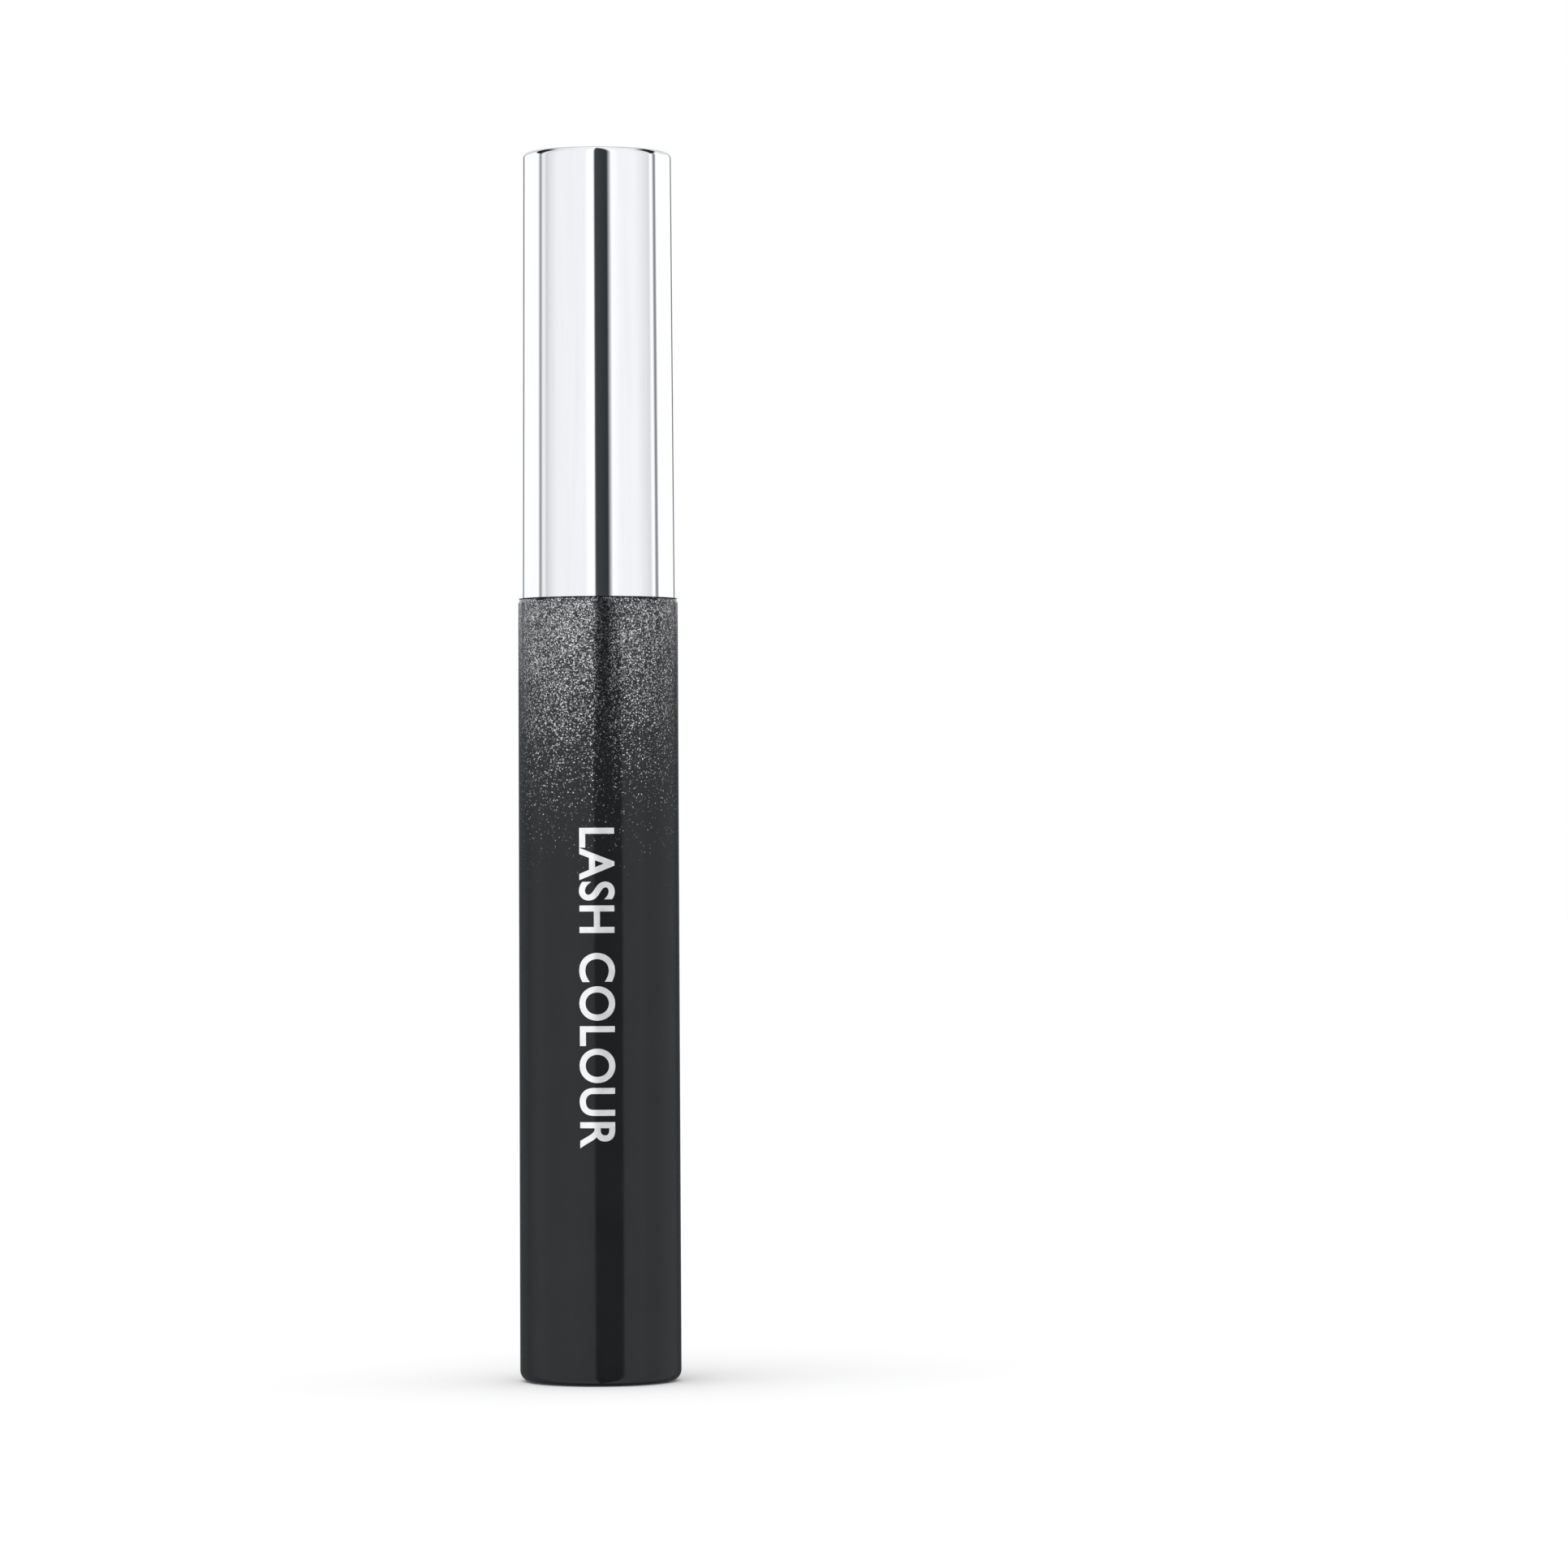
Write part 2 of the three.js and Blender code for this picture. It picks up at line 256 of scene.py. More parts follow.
class StudioSettings(bpy.types.PropertyGroup):
    """Camera, floor and light."""

    lens: FloatProperty(
        name="Lens",
        description="Focal length of the camera",
        default=148.0,
        unit="CAMERA",
    )
    distance: FloatProperty(
        name="Distance",
        description="From the tube's axis to the camera, towards -Y",
        default=0.640,
        unit="LENGTH",
    )
    side_offset: FloatProperty(
        name="Side offset",
        description="How far the camera stands to the right of the tube",
        default=18.4 * MM,
        unit="LENGTH",
    )
    eye_height: FloatProperty(
        name="Eye height",
        description="Height of the camera above the floor",
        default=52.3 * MM,
        unit="LENGTH",
    )
    aim_height: FloatProperty(
        name="Aim height",
        description="Height of the point in the middle of the view",
        default=59.1 * MM,
        unit="LENGTH",
    )
    roll: FloatProperty(
        name="Roll",
        description="How far the camera is rolled about its own axis",
        default=math.radians(-0.24),
        subtype="ANGLE",
    )
    floor: FloatVectorProperty(
        name="Floor",
        description="Colour of the pale floor",
        default=(0.93, 0.93, 0.93),
        subtype="COLOR",
    )
    key_strength: FloatProperty(
        name="Key strength",
        description="Strength of the very soft light from the upper left",
        default=0.5,
    )


class TubeSettings(bpy.types.PropertyGroup):
    """Everything that can be set on the tube."""

    sleeve: PointerProperty(type=SleeveSettings)
    cap: PointerProperty(type=CapSettings)
    applicator: PointerProperty(type=ApplicatorSettings)
    studio: PointerProperty(type=StudioSettings)


# ---------------------------------------------------------------- modelling


def let_go():
    """Deselects everything, so that the next operator acts on its own piece only."""
    if bpy.context.object and bpy.context.object.mode == "EDIT":
        bpy.ops.object.mode_set(mode="OBJECT")
    bpy.ops.object.select_all(action="DESELECT")


def pick(*objects):
    """Selects these objects only, the first of them active."""
    let_go()
    for thing in objects:
        thing.select_set(True)
    bpy.context.view_layer.objects.active = objects[0]


def edit_all():
    """Goes into edit mode with everything on the active piece selected."""
    bpy.ops.object.mode_set(mode="EDIT")
    bpy.ops.mesh.select_all(action="SELECT")


def stop_editing():
    bpy.ops.object.mode_set(mode="OBJECT")


def settle():
    """Puts the active piece's place, turn and size in its mesh."""
    bpy.ops.object.transform_apply(location=True, rotation=True, scale=True)


def named(name):
    """Names the piece that an operator has just added."""
    piece = bpy.context.object
    piece.name = name
    piece.data.name = name
    return piece


def arc(r, z, radius, start, end, steps=6):
    """Points of a rounded corner about (r, z), from one angle to another in degrees."""
    angles = [math.radians(start + (end - start) * i / steps) for i in range(steps + 1)]
    return [(r + radius * math.cos(a), z + radius * math.sin(a)) for a in angles]


def lower_edge(r, z, radius, steps=4):
    """The rounded edge of an end that faces down, where the walls would meet at (r, z)."""
    return arc(r - radius, z + radius, radius, -90, 0, steps)


def upper_edge(r, z, radius, steps=4):
    """The rounded edge of an end that faces up, where the walls would meet at (r, z)."""
    return arc(r - radius, z - radius, radius, 0, 90, steps)


def apply_modifier(piece, kind, **settings):
    """Adds a modifier to a piece and applies it."""
    pick(piece)
    bpy.ops.object.modifier_add(type=kind)
    modifier = piece.modifiers[-1]
    for key, value in settings.items():
        setattr(modifier, key, value)
    bpy.ops.object.modifier_apply(modifier=modifier.name)


def close_up(piece, smooth_angle=35.0):
    """Turns the faces outwards, puts the piece's place in its mesh and smooths its curved faces."""
    pick(piece)
    edit_all()
    bpy.ops.mesh.normals_make_consistent(inside=False)
    stop_editing()
    settle()
    bpy.ops.object.shade_smooth_by_angle(angle=math.radians(smooth_angle))
    return piece


def held(points):
    """Adds a point near each end of a long straight stretch, which keeps its shading flat."""
    LONG = 1.2 * MM
    made = [points[0]]
    for (r, z), (next_r, next_z) in zip(points, points[1:]):
        length = math.hypot(next_r - r, next_z - z)
        if length > LONG:
            for share in (HOLD / length, 1 - HOLD / length):
                made.append((r + (next_r - r) * share, z + (next_z - z) * share))
        made.append((next_r, next_z))
    return made


def turned(name, outline, facets=ROUND):
    """A turned piece, drawn out from a circle along an outline of (radius, height) points.

    The outline starts and ends on the axis, or closes on itself where the piece is a ring."""
    ring = outline[0][0] > 0
    if ring:
        points = held(outline)
    else:
        first, last = outline[1], outline[-2]
        points = held(outline[1:-1])
        points = [(first[0] - HOLD, first[1]), *points, (last[0] - HOLD, last[1])]
    r, z = points[0]
    let_go()
    fill = "NOTHING" if ring else "NGON"
    bpy.ops.mesh.primitive_circle_add(vertices=facets, radius=r, fill_type=fill, location=(0, 0, z))
    piece = named(name)
    edit_all()
    for next_r, next_z in points[1:]:
        bpy.ops.mesh.extrude_region_move(TRANSFORM_OT_translate={"value": (0, 0, next_z - z)})
        share = next_r / r
        bpy.ops.transform.resize(value=(share, share, 1), center_override=(0, 0, next_z))
        r, z = next_r, next_z
    if ring:
        bpy.ops.mesh.select_mode(type="EDGE")
        bpy.ops.mesh.select_all(action="DESELECT")
        bpy.ops.mesh.select_non_manifold()
        bpy.ops.mesh.bridge_edge_loops()
        bpy.ops.mesh.select_mode(type="VERT")
    stop_editing()
    return close_up(piece)


def thread_ridge(name, wall, crest, start_z, turns):
    """A screw thread's ridge, drawn round from a rounded section. Its ends sink into the wall."""
    FOOT = 0.3 * MM
    HALF_FOOT = 0.65 * MM
    CREST_SHARE = 0.46
    ROUNDING = 0.14 * MM
    STEPS_PER_TURN = 72
    RUN_OUT_TURNS = 1 / 12
    outward = 1 if crest > wall else -1
    foot = wall - FOOT * outward
    height = abs(crest - wall)
    let_go()
    middle = (foot + crest) / 2
    bpy.ops.mesh.primitive_plane_add(
        size=1, location=(middle, 0, start_z), rotation=(math.radians(90), 0, 0)
    )
    ridge = named(name)
    edit_all()
    bpy.ops.transform.resize(
        value=(abs(crest - foot), 1, 2 * HALF_FOOT), center_override=(middle, 0, start_z)
    )
    select_vertices(ridge, lambda place: (place.x - middle) * outward > 0)
    bpy.ops.transform.resize(value=(1, 1, CREST_SHARE), center_override=(crest, 0, start_z))
    bpy.ops.mesh.bevel(affect="VERTICES", offset=ROUNDING, segments=4)
    bpy.ops.mesh.select_all(action="SELECT")

    def lift(turn):
        return max(0.05, min(1.0, turn / RUN_OUT_TURNS, (turns - turn) / RUN_OUT_TURNS))

    steps = round(turns * STEPS_PER_TURN)
    sink = -(1 - lift(0)) * height * outward
    bpy.ops.transform.translate(value=(sink, 0, 0))
    for i in range(steps):
        turn, next_turn = turns * i / steps, turns * (i + 1) / steps
        angle = 2 * math.pi * turn
        shift = (lift(next_turn) - lift(turn)) * height * outward
        rise = THREAD_LEAD * turns / steps
        move = (shift * math.cos(angle), shift * math.sin(angle), rise)
        bpy.ops.mesh.extrude_region_move(TRANSFORM_OT_translate={"value": move})
        step = -2 * math.pi * turns / steps
        bpy.ops.transform.rotate(value=step, orient_axis="Z", center_override=(0, 0, 0))
    stop_editing()
    return close_up(ridge)


def select_vertices(piece, chosen):
    """Selects the vertices whose place passes a test. It leaves the piece in edit mode."""
    bpy.ops.mesh.select_mode(type="VERT")
    bpy.ops.mesh.select_all(action="DESELECT")
    stop_editing()
    for vertex in piece.data.vertices:
        vertex.select = bool(chosen(piece.matrix_world @ vertex.co))
    bpy.ops.object.mode_set(mode="EDIT")


def weld(piece, *others):
    """Joins closed shapes to a piece where they run into it."""
    for other in others:
        apply_modifier(piece, "BOOLEAN", operation="UNION", solver="EXACT", object=other)
        bpy.data.objects.remove(other)
    return close_up(piece)


def finish_piece(piece, material, body, slot, *nodes):
    """Gives a piece its material and its body, and hides the CAD nodes that it stands for."""
    piece.data.materials.clear()
    piece.data.materials.append(material)
    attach(piece, body)
    if nodes:
        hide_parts(*nodes)


# ---------------------------------------------------------------- materials


def add_node(tree, kind, inputs=None, **settings):
    """Adds a shader node. An input is a value, or another node's output to link to."""
    made = tree.nodes.new(kind)
    for key, value in settings.items():
        setattr(made, key, value)
    for key, value in (inputs or {}).items():
        if isinstance(value, bpy.types.NodeSocket):
            tree.links.new(value, made.inputs[key])
        else:
            made.inputs[key].default_value = value
    return made


def start_material(name, color, roughness, metallic=0.0):
    """A material whose coordinates are in millimetres on the piece."""
    material = bpy.data.materials.new(name)
    material.use_nodes = True
    tree = material.node_tree
    shader = tree.nodes["Principled BSDF"]
    shader.inputs["Base Color"].default_value = (*color, 1.0)
    shader.inputs["Roughness"].default_value = roughness
    shader.inputs["Metallic"].default_value = metallic
    material.diffuse_color = (*color, 1.0)
    place = add_node(tree, "ShaderNodeTexCoord").outputs["Object"]
    scaled = add_node(tree, "ShaderNodeMapping", {"Vector": place, "Scale": (1000, 1000, 1000)})
    return material, tree, shader, scaled.outputs["Vector"]


def noise(tree, place, size, detail=2.0, roughness=0.5):
    """Soft noise whose lumps are about this many millimetres across."""
    inputs = {"Vector": place, "Scale": 1.0 / size, "Detail": detail, "Roughness": roughness}
    return add_node(tree, "ShaderNodeTexNoise", inputs).outputs["Fac"]


def spread(tree, value, low, high, from_low=0.3, from_high=0.7):
    """Maps noise to a range of numbers."""
    inputs = {"Value": value, "From Min": from_low, "From Max": from_high}
    inputs |= {"To Min": low, "To Max": high}
    return add_node(tree, "ShaderNodeMapRange", inputs).outputs["Result"]


def blend(tree, share, first, second):
    """Mixes two colours."""
    inputs = {0: share, 6: first, 7: second}
    return add_node(tree, "ShaderNodeMix", inputs, data_type="RGBA").outputs[2]


def calculate(tree, operation, *values):
    """A Math node."""
    inputs = dict(enumerate(values))
    return add_node(tree, "ShaderNodeMath", inputs, operation=operation).outputs[0]


def ramp(tree, value, stops):
    """Colours set out along a range. A stop is its place from 0 to 1 and its colour."""
    made = add_node(tree, "ShaderNodeValToRGB", {"Fac": value})
    elements = made.color_ramp.elements
    while len(elements) < len(stops):
        elements.new(0.5)
    for element, (position, color) in zip(elements, stops):
        element.position = position
        element.color = (*color, 1.0)
    return made.outputs["Color"]


def vary_color(tree, shader, value, color, change):
    """Lightens and darkens a colour by noise."""
    darker = (*[c * (1 - change) for c in color], 1.0)
    lighter = (*[min(1.0, c * (1 + change)) for c in color], 1.0)
    share = spread(tree, value, 0.0, 1.0)
    tree.links.new(blend(tree, share, darker, lighter), shader.inputs["Base Color"])


def vary_roughness(tree, shader, value, low, high):
    """Lets the roughness wander between two values by noise."""
    tree.links.new(spread(tree, value, low, high), shader.inputs["Roughness"])


def bump(tree, shader, height, depth):
    """Raises the surface by a height map, as deep as depth millimetres."""
    inputs = {"Height": height, "Distance": depth * MM, "Strength": 1.0}
    made = add_node(tree, "ShaderNodeBump", inputs)
    tree.links.new(made.outputs["Normal"], shader.inputs["Normal"])


def cached(make):
    """Makes a material once and hands the same one out again."""
    made = {}

    def get(*args):
        if make not in made:
            made[make] = make(*args)
        return made[make]

    return get


def glitter_lacquer(sleeve):
    """Black gloss lacquer over silver, which shows as grains that thin out downwards."""
    PAINTED_SIDE_LIGHT = 0.035  # painted side light: the cover drops by this much for each millimetre to the right, so the left looks lit
    GRAIN_EDGE = 0.12  # how softly a grain comes and goes
    UNGLINTED_SILVER = (0.06, 0.06, 0.063, 1.0)
    GLINT_RARITY = 3.0  # painted glints: the higher, the fewer grains get the bright colour, as if they faced the eye and shone
    material, tree, shader, place = start_material("glitter_lacquer", sleeve.lacquer, 0.1)
    shader.inputs["Specular IOR Level"].default_value = 0.27
    axes = add_node(tree, "ShaderNodeSeparateXYZ", {"Vector": place})
    end, top = sleeve.glitter_end / MM, SLEEVE_HIGH.z / MM
    up = spread(tree, axes.outputs["Z"], 0.0, 1.0, end, top)
    # Share of the way up from the last grains, and share of the full cover there.
    fade = (
        (0.0, 0.0),
        (0.15, 0.02),
        (0.3, 0.09),
        (0.44, 0.2),
        (0.54, 0.36),
        (0.64, 0.51),
        (0.74, 0.66),
        (0.83, 0.82),
        (0.984, 0.94),
        (1.0, 0.35),
    )
    faded = ramp(tree, up, [(position, (share, share, share)) for position, share in fade])
    # Painted side light: more grains on the left than on the right, as if light fell from the left.
    side = calculate(tree, "MULTIPLY_ADD", axes.outputs["X"], -PAINTED_SIDE_LIGHT, 1.0)
    cover = calculate(tree, "MULTIPLY", faded, sleeve.glitter_cover)
    cloud = spread(tree, noise(tree, place, 1.6, 3.0), 0.85, 1.15)
    cover = calculate(tree, "MULTIPLY", calculate(tree, "MULTIPLY", cover, side), cloud)

    grain = sleeve.grain / MM
    cells = add_node(tree, "ShaderNodeTexVoronoi", {"Vector": place, "Scale": 1.0 / grain})
    chance = add_node(tree, "ShaderNodeSeparateColor", {"Color": cells.outputs["Color"]})
    margin = calculate(tree, "SUBTRACT", cover, chance.outputs["Red"])
    shown = spread(tree, margin, 0.0, 1.0, 0.0, GRAIN_EDGE)
    # Painted glints: a random few grains get the bright silver and the rest a dark one, as if only
    # those few faced the eye.
    light = calculate(tree, "POWER", chance.outputs["Green"], GLINT_RARITY)
    silver = blend(tree, light, UNGLINTED_SILVER, (*sleeve.glitter, 1.0))
    black = blend(
        tree,
        spread(tree, noise(tree, place, 6.0), 0.0, 1.0),
        (*[c * 0.9 for c in sleeve.lacquer], 1.0),
        (*[c * 1.1 for c in sleeve.lacquer], 1.0),
    )
    tree.links.new(blend(tree, shown, black, silver), shader.inputs["Base Color"])
    tree.links.new(shown, shader.inputs["Metallic"])
    smear = spread(tree, noise(tree, place, 3.0), 0.07, 0.11)
    rough = calculate(tree, "MULTIPLY_ADD", shown, 0.08, smear)
    tree.links.new(rough, shader.inputs["Roughness"])
    bump(tree, shader, noise(tree, place, 1.4, 2.0), 0.006)
    return material


def bright_metal(cap):
    """Mirror-bright metallised skin with faint lengthwise drawing marks."""
    material, tree, shader, place = start_material("bright_metal", cap.metal, cap.roughness, 1.0)
    drawn = add_node(tree, "ShaderNodeMapping", {"Vector": place, "Scale": (1, 1, 0.03)})
    marks = noise(tree, drawn.outputs["Vector"], 0.5, 4.0, 0.6)
    vary_color(tree, shader, marks, cap.metal, 0.02)
    low, high = cap.roughness * 0.7, cap.roughness * 1.4
    vary_roughness(tree, shader, noise(tree, place, 4.0), low, high)
    bump(tree, shader, noise(tree, place, 5.0), 0.002)
    return material


def mottled(name, color, rough, mottle, relief=None, metallic=0.0, specular=0.5):
    """A material whose roughness, colour and surface each vary a little by noise.

    Rough is (usual roughness, size, low, high), mottle is (size, detail, change) and relief is
    (size, depth), with the sizes and the depth in millimetres."""
    usual, rough_size, low, high = rough
    size, detail, change = mottle
    material, tree, shader, place = start_material(name, color, usual, metallic)
    shader.inputs["Specular IOR Level"].default_value = specular
    vary_color(tree, shader, noise(tree, place, size, detail), color, change)
    vary_roughness(tree, shader, noise(tree, place, rough_size), low, high)
    if relief:
        relief_size, depth = relief
        bump(tree, shader, noise(tree, place, relief_size), depth)
    return material


def foil():
    """Stamped silver-white foil, a little uneven."""
    return mottled(
        "silver_foil",
        (0.88, 0.885, 0.89),
        rough=(0.2, 0.6, 0.12, 0.24),
        mottle=(0.9, 3.0, 0.08),
        relief=(0.35, 0.002),
        metallic=0.35,
    )


@cached
def moulded_black(applicator):
    """Smooth black moulded plastic, faintly mottled."""
    return mottled(
        "moulded_black",
        tuple(applicator.plastic),
        rough=(0.16, 1.2, 0.12, 0.2),
        mottle=(2.5, 3.0, 0.15),
        relief=(1.8, 0.003),
        specular=0.4,
    )


def elastomer():
    """Soft matt wiper material."""
    return mottled(
        "wiper_elastomer",
        (0.03, 0.03, 0.032),
        rough=(0.6, 0.4, 0.5, 0.7),
        mottle=(0.8, 3.0, 0.2),
        relief=(0.15, 0.006),
    )


def foam():
    """Pale closed-cell foam."""
    color = (0.62, 0.62, 0.59)
    material, tree, shader, place = start_material("seal_foam", color, 0.85)
    pore_pits_and_shade = add_node(tree, "ShaderNodeTexVoronoi", {"Vector": place, "Scale": 8.0})
    cells = pore_pits_and_shade.outputs["Distance"]
    # Painted shade: the colour darkens towards the middle of each cell, in the pits that the bump
    # sinks.
    vary_color(tree, shader, cells, color, 0.12)
    vary_roughness(tree, shader, noise(tree, place, 0.3), 0.8, 0.95)
    bump(tree, shader, cells, 0.03)
    return material


@cached
def steel():
    """Plain bright steel, faintly uneven."""
    return mottled(
        "steel",
        (0.62, 0.6, 0.57),
        rough=(0.25, 0.2, 0.2, 0.34),
        mottle=(0.3, 3.0, 0.15),
        relief=(0.12, 0.002),
        metallic=1.0,
    )


def nylon():
    """Black nylon filament with a slight sheen."""
    return mottled(
        "black_nylon",
        (0.006, 0.006, 0.0065),
        rough=(0.5, 0.3, 0.42, 0.58),
        mottle=(0.5, 3.0, 0.4),
        specular=0.3,
    )


def dark_film():
    """Blank dark film with a fine tooth."""
    return mottled(
        "dark_film",
        (0.02, 0.02, 0.022),
        rough=(0.45, 0.5, 0.38, 0.5),
        mottle=(0.7, 4.0, 0.2),
        relief=(0.1, 0.002),
    )


def floor_paint(color):
    """Pale matt studio floor with the faintest unevenness."""
    material, tree, shader, place = start_material("studio_floor", color, 0.7)
    shader.inputs["Specular IOR Level"].default_value = 0.0
    vary_color(tree, shader, noise(tree, place, 60.0), tuple(color), 0.01)
    return material


# ---------------------------------------------------------------- the bottle


class TUBE_OT_outer_sleeve(bpy.types.Operator):
    """Add the lacquered sleeve with its rounded foot and the recess under it"""

    bl_idname = "tube.outer_sleeve"
    bl_label = "Outer Sleeve"

    def execute(self, context):
        sleeve = context.scene.mascara_tube.sleeve
        top = SLEEVE_HIGH.z
        LIP_ROUND = 0.45 * MM
        RECESS_RADIUS = 6.2 * MM
        RECESS_DEPTH = 0.45 * MM
        FLOOR_TOP = 1.4 * MM
        EASE = 0.08 * MM
        outline = [
            (0, RECESS_DEPTH),
            (RECESS_RADIUS, RECESS_DEPTH),
            (RECESS_RADIUS, EASE),
            (RECESS_RADIUS + EASE, 0),
            *lower_edge(sleeve.base_radius, 0, sleeve.foot_round, 10),
            *upper_edge(sleeve.top_radius, top, LIP_ROUND, 6),
            (SHELL_BORE + 0.1 * MM, top),
            (SHELL_BORE, top - 0.1 * MM),
            (SHELL_BORE, FLOOR_TOP + 0.5 * MM),
            (SHELL_BORE - 0.5 * MM, FLOOR_TOP),
            (0, FLOOR_TOP),
        ]
        piece = turned("lacquered_sleeve", outline)
        finish_piece(piece, glitter_lacquer(sleeve), "bottle", "black_lacquer", "outer_sleeve")
        return {"FINISHED"}


class TUBE_OT_lettering(bpy.types.Operator):
    """Add the foil word that runs down the sleeve's front"""

    bl_idname = "tube.lettering"
    bl_label = "Foil Lettering"

    def execute(self, context):
        sleeve = context.scene.mascara_tube.sleeve
        FOIL_THICKNESS = 0.03 * MM
        LETTER_SPACING = 1.08  # of the font's own
        BOLDNESS = 0.018  # how far the outlines are pushed out, in the font's own units
        STRIPS = 22  # cuts up and down the letters, so that they can follow the sleeve's curve
        let_go()
        bpy.ops.object.text_add()
        word = named("foil_lettering")
        word.data.body = sleeve.word
        word.data.space_character = LETTER_SPACING
        word.data.offset = BOLDNESS
        word.data.resolution_u = 8
        bpy.ops.object.convert(target="MESH")
        across_all = [vertex.co.x for vertex in word.data.vertices]
        up_all = [vertex.co.y for vertex in word.data.vertices]
        low = Vector((min(across_all), min(up_all), 0))
        high = Vector((max(across_all), max(up_all), 0))
        along = sleeve.word_length / (high.x - low.x)
        across = sleeve.letter_height / (high.y - low.y)
        middle = (low + high) / 2
        # The word reads downwards, its letters' tops to the right and their faces to the front.
        height = sleeve.word_top - sleeve.word_length / 2
        place = Vector((0.0, -sleeve.base_radius - 2 * MM, height))
        axes = Matrix(((0, 1, 0, 0), (0, 0, -1, 0), (-1, 0, 0, 0), (0, 0, 0, 1)))
        word.matrix_world = (
            Matrix.Translation(place)
            @ axes
            @ Matrix.Diagonal((along, across, 1, 1))
            @ Matrix.Translation(-middle)
        )
        settle()
        edit_all()
        bpy.ops.mesh.remove_doubles(threshold=1e-6)
        for i in range(1, STRIPS):
            bpy.ops.mesh.select_all(action="SELECT")
            side = sleeve.letter_height * (i / STRIPS - 0.5)
            bpy.ops.mesh.bisect(plane_co=(side, 0, 0), plane_no=(1, 0, 0))
        stop_editing()
        apply_modifier(
            word,
            "SHRINKWRAP",
            target=bpy.data.objects["lacquered_sleeve"],
            wrap_method="PROJECT",
            use_project_y=True,
            use_project_x=False,
            use_project_z=False,
            use_positive_direction=True,
            use_negative_direction=False,
            offset=0.0,
        )
        apply_modifier(word, "SOLIDIFY", thickness=FOIL_THICKNESS, offset=0.4)
        close_up(word, 40.0)
        finish_piece(word, foil(), "bottle", "bright_cap")
        return {"FINISHED"}


class TUBE_OT_inner_bottle(bpy.types.Operator):
    """Add the bottle inside the sleeve, with its threaded neck"""

    bl_idname = "tube.inner_bottle"
    bl_label = "Inner Bottle"

    def execute(self, context):
        radius = SHELL_BORE - 0.17 * MM
        bore = radius - 1.1 * MM
        underside = BOTTLE_LOW.z
        floor = underside + 1.3 * MM
        shoulder = SLEEVE_HIGH.z - 2.0 * MM
        rim = BOTTLE_HIGH.z
        outline = [
            (0, underside),
            *lower_edge(radius, underside, 1.0 * MM, 6),
            (radius, shoulder - 0.5 * MM),
            (radius - 0.5 * MM, shoulder),
            (NECK_RADIUS, shoulder),
            *upper_edge(NECK_RADIUS, rim, 0.3 * MM),
            (NECK_BORE, rim),
            (NECK_BORE, shoulder - 0.6 * MM),
            (bore, shoulder - 2.8 * MM),
            *arc(bore - 1.5 * MM, floor + 1.5 * MM, 1.5 * MM, 0, -90),
            (0, floor),
        ]
        bottle = turned("inner_bottle_moulding", outline, INNER_ROUND)
        ridge = thread_ridge("neck_thread", NECK_RADIUS, NECK_RADIUS + 0.7 * MM, THREAD_START, 1.5)
        weld(bottle, ridge)
        plastic = moulded_black(context.scene.mascara_tube.applicator)
        finish_piece(bottle, plastic, "bottle", "black_plastic", "inner_bottle")
        return {"FINISHED"}


class TUBE_OT_shoulder_collar(bpy.types.Operator):
    """Add the ring that fills the step between the sleeve and the neck"""

    bl_idname = "tube.shoulder_collar"
    bl_label = "Shoulder Collar"

    def execute(self, context):
        low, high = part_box("shoulder_collar")
        inner = NECK_RADIUS + 0.2 * MM
        outer = high.x
        outline = [
            (inner, low.z),
            (outer, low.z),
            *upper_edge(outer, high.z, 0.2 * MM),
            *arc(inner + 0.1 * MM, high.z - 0.1 * MM, 0.1 * MM, 90, 180, 4),
        ]
        collar = turned("collar_ring", outline, INNER_ROUND)
        plastic = moulded_black(context.scene.mascara_tube.applicator)
        finish_piece(collar, plastic, "bottle", "black_plastic", "shoulder_collar")
        return {"FINISHED"}


class TUBE_OT_wiper(bpy.types.Operator):
    """Add the soft insert whose lip scrapes the stem and the brush"""

    bl_idname = "tube.wiper"
    bl_label = "Wiper"

    def execute(self, context):
        low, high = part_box("wiper")
        plug = NECK_BORE - FIT_GAP
        flange = high.x
        seat = high.z - 0.6 * MM
        lip = context.scene.mascara_tube.applicator.root_radius + 0.14 * MM
        mouth = 3.5 * MM
        outline = [
            (lip + 0.47 * MM, low.z),
            (plug, low.z + 3.4 * MM),
            (plug, seat),
            (flange, seat),
            *upper_edge(flange, high.z, 0.15 * MM),
            *arc(mouth, high.z - 0.25 * MM, 0.25 * MM, 90, 180, 4),
            (mouth - 0.25 * MM, low.z + 3.7 * MM),
            (lip, low.z + 0.6 * MM),
            (lip, low.z),
        ]
        wiper = turned("wiper_insert", outline, INNER_ROUND)
        finish_piece(wiper, elastomer(), "bottle", "wiper_plastic", "wiper")
        return {"FINISHED"}


class TUBE_OT_base_label(bpy.types.Operator):
    """Add the blank disc in the recess under the sleeve"""

    bl_idname = "tube.base_label"
    bl_label = "Base Label"

    def execute(self, context):
        low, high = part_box("base_label")
        edge = 0.04 * MM
        outline = [
            (0, low.z),
            (high.x - edge, low.z),
            (high.x, low.z + edge),
            (high.x, high.z),
            (0, high.z),
        ]
        label = turned("base_disc", outline, INNER_ROUND)
        finish_piece(label, dark_film(), "bottle", "label", "base_label")
        return {"FINISHED"}


# ---------------------------------------------------------------- the cap


